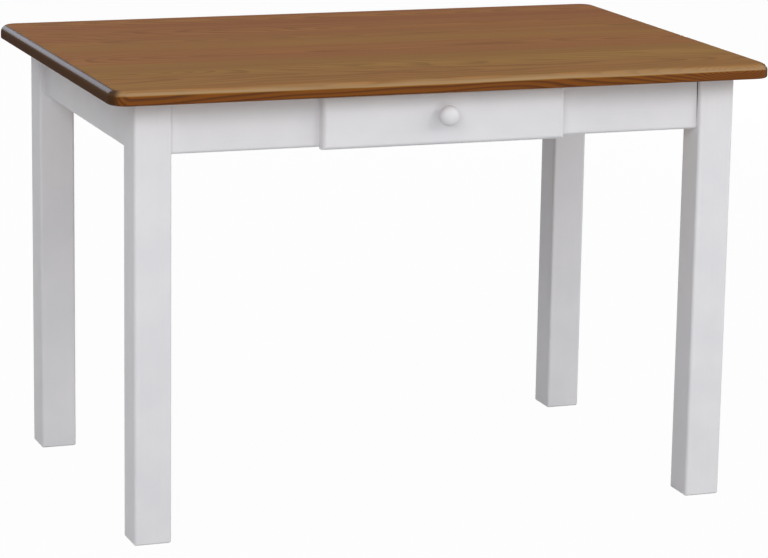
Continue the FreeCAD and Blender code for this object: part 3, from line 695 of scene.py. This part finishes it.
ends, axes, lengths = shafts_in("hanger_bolts")
length = lengths.mean()
fine = PITCH / 6
in_leg, in_block = np.linspace(-length + 8, -56, 12), np.linspace(-38, -16, 6)
gap, free_end = np.arange(-52, -41, fine), np.arange(-15, -0.6, fine)
reach = np.concatenate([in_leg, gap, in_block, free_end])
radius = threaded(reach, BOLT_STEPS)
point = np.broadcast_to(np.array([(0.1, 3.2)]), (BOLT_STEPS, 2))
tail = np.broadcast_to(np.array([(3.2, 2.9)]), (BOLT_STEPS, 2))
radius = np.concatenate([point, radius, tail], axis=1)
reach = np.concatenate([[-length, -length + 7], reach, [-0.3, 0.0]])
bolts = surface("hanger_bolts_surface", lathe(radius, reach, ends, axes, BOLT_STEPS) * MM)


def nut_outline(flats, height, bore, steps):
    """Radius of a hexagon nut at each step and height: the hexagon, cut off by a cone at both ends."""
    turn = np.linspace(0, 360, steps, endpoint=False)
    hexagon = flats / 2 / np.cos(np.radians((turn + 30) % 60 - 30))
    reach = np.array([0, 0.3, 0.6, height / 2, height - 0.6, height - 0.3, height])
    cone = flats / 2 * 0.96 + 1.9 * np.minimum(reach, height - reach)
    outside = np.minimum(hexagon[:, None], cone[None])
    inside = np.broadcast_to(np.array([bore + 0.6, bore, bore, bore + 0.6]), (steps, 4))
    back = [height, height - 0.6, 0.6, 0.0]
    return np.concatenate([outside, inside], axis=1), np.concatenate([reach, back])


centres = np.array([(spots.min(axis=0) + spots.max(axis=0)) / 2 for spots in solids_in("bolt_nuts")])
nearest = np.linalg.norm(centres[:, None] - ends[None], axis=2).argmin(axis=1)
radius, reach = nut_outline(NUT_FLATS, NUT_HEIGHT, BOLT + 0.15, NUT_STEPS)
grid = lathe(radius, reach - NUT_HEIGHT / 2, centres, axes[nearest], NUT_STEPS)
nuts = surface("bolt_nuts_surface", grid * MM, loop=True)
for piece, node in ((bolts, "hanger_bolts"), (nuts, "bolt_nuts")):
    piece.data.materials.append(zinc_finish)
    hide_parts(node)
    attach(piece, "table_frame")
    print(piece.name, len(piece.data.polygons), "faces")

# %% [markdown]
# The table stands on a plain pale floor that curves up far away into a low backdrop, as a paper roll
# does in a studio. To the camera it is almost white, and a share of its real shading is kept so that
# the soft shadow stays under the table.

# %% Floor and backdrop
EVEN_WHITE = 0.975
BELOW_FEET = -0.0003


def paper():
    """White studio paper: to the camera, and in reflections, mostly an even white."""
    material, tree, _ = new_finish("paper_white_matt")
    seen = add(tree, "LightPath").outputs
    eye = add(tree, "Math", [seen["Is Camera Ray"], seen["Is Glossy Ray"]], operation="MAXIMUM")
    eye = add(tree, "Math", [eye, seen["Is Transmission Ray"]], operation="MAXIMUM")
    share = add(tree, "Math", [eye, EVEN_WHITE], operation="MULTIPLY")
    matt = add(tree, "BsdfDiffuse", {"Color": linear("#ACACAC")})
    white = add(tree, "Emission", {"Color": (1.0, 1.0, 1.0, 1.0), "Strength": 1.0})
    close_finish(tree, add(tree, "MixShader", [share, matt, white]))
    return material


sweep = np.concatenate([[(3.0, 0.0), (24.0, 0.0)], arc((24.0, 5.0), 5.0, -90, 0, 16)])
ground = lathe(*sweep.T, (0.0, 0.0, BELOW_FEET), (0, 0, 1), 96)[:, ::-1]
floor = surface("studio_floor", ground, poles=(True, False))
floor.data.materials.append(paper())
print("floor radius:", sweep[:, 0].max(), "m")

# %% [markdown]
# The light is soft. On the right a key and a panel, and in front on the left a larger panel, give about
# as much light from both sides, so every upright face gets some, and the overhanging top shades what is
# just below it. The key is high enough to put the knob's shadow below it on the left. A bluish panel
# behind, like a window, runs along the rounded end of the top. Two low panels stay below the top, so its
# lacquer can't mirror them: the front one thins the shade under the top and the back one lights the far
# side. The world fills the rest, brightest overhead. A lamp's strength is written as the share of full
# light that it gives to a surface facing it.

# %% Lamps and world
def lamp(name, place, aim, size, share, colour="#FFFFFF"):
    """Area lamp. A facing white surface takes share of full light: watts = share * pi^2 * distance^2."""
    place, aim = Vector(place), Vector(aim)
    data = bpy.data.lights.new(name, "AREA")
    data.shape = "RECTANGLE"
    data.size, data.size_y = size
    data.color = linear(colour)[:3]
    data.energy = share * math.pi ** 2 * (aim - place).length_squared
    light = bpy.data.objects.new(name, data)
    turn = (aim - place).to_track_quat("-Z", "Y").to_matrix().to_4x4()
    light.matrix_world = Matrix.Translation(place) @ turn
    light.visible_camera = False
    bpy.context.collection.objects.link(light)
    return light


middle = (0.0, 0.0, 0.5)
lamps = [
    lamp("key_front_right", (2.4, -3.9, 3.0), middle, (1.8, 1.8), 0.175),
    lamp("panel_right", (4.0, -2.6, 2.2), middle, (1.8, 1.8), 0.15),
    lamp("panel_front_left", (-2.4, -4.2, 2.6), middle, (3.0, 2.4), 0.275),
    lamp("panel_left", (-3.4, -0.9, 2.7), middle, (2.0, 2.0), 0.075),
    lamp("window_back_left", (-1.3, 4.4, 2.15), middle, (1.9, 1.5), 0.07, "#E2EBFF"),
    lamp("low_panel_front", (0.6, -4.6, 0.35), middle, (2.4, 0.7), 0.07),
    lamp("low_panel_back", (2.6, 4.2, 0.35), middle, (2.4, 0.7), 0.45),
]
world = bpy.data.worlds.new("studio_fill")
world.use_nodes = True
sky = world.node_tree
sky.nodes.clear()
height = add(sky, "SeparateXYZ", [add(sky, "TexCoord").outputs["Generated"]]).outputs["Z"]
glow = add(sky, "MapRange", [height, 0.45, 1.0, 0.11, 0.98])
fill = add(sky, "Background", {"Color": (1.0, 1.0, 1.0, 1.0), "Strength": glow})
add(sky, "OutputWorld", {"Surface": fill})
bpy.context.scene.world = world
bpy.context.scene.view_settings.view_transform = "Standard"
print("lamps:", [(light.name, round(light.data.energy, 1)) for light in lamps])

# %% [markdown]
# The camera's place and lens were worked out from the table's corners in the photograph: it stands
# almost 6 m away, in front and to the left, and looks down on the top through a long lens.

# %% Camera
PHOTO_WIDTH_PX = 768
FOCAL_PX = 3226.0
CAMERA_PLACE = (-1.9303, -5.3501, 1.6322)
yaw, pitch, roll = 0.3505, 0.2217, -0.0161
ahead = Vector((math.sin(yaw) * math.cos(pitch), math.cos(yaw) * math.cos(pitch), -math.sin(pitch)))
level = Vector((math.cos(yaw), -math.sin(yaw), 0.0))
upright = level.cross(ahead)
right = math.cos(roll) * level - math.sin(roll) * upright
above = math.cos(roll) * upright + math.sin(roll) * level
lens = bpy.data.cameras.new("photo_camera")
lens.sensor_width = 36.0
lens.lens = FOCAL_PX / PHOTO_WIDTH_PX * lens.sensor_width
camera = bpy.data.objects.new("photo_camera", lens)
turn = Matrix((right, above, -ahead)).transposed().to_4x4()
camera.matrix_world = Matrix.Translation(CAMERA_PLACE) @ turn
bpy.context.collection.objects.link(camera)
bpy.context.scene.camera = camera
print("lens:", round(lens.lens, 1), "mm")
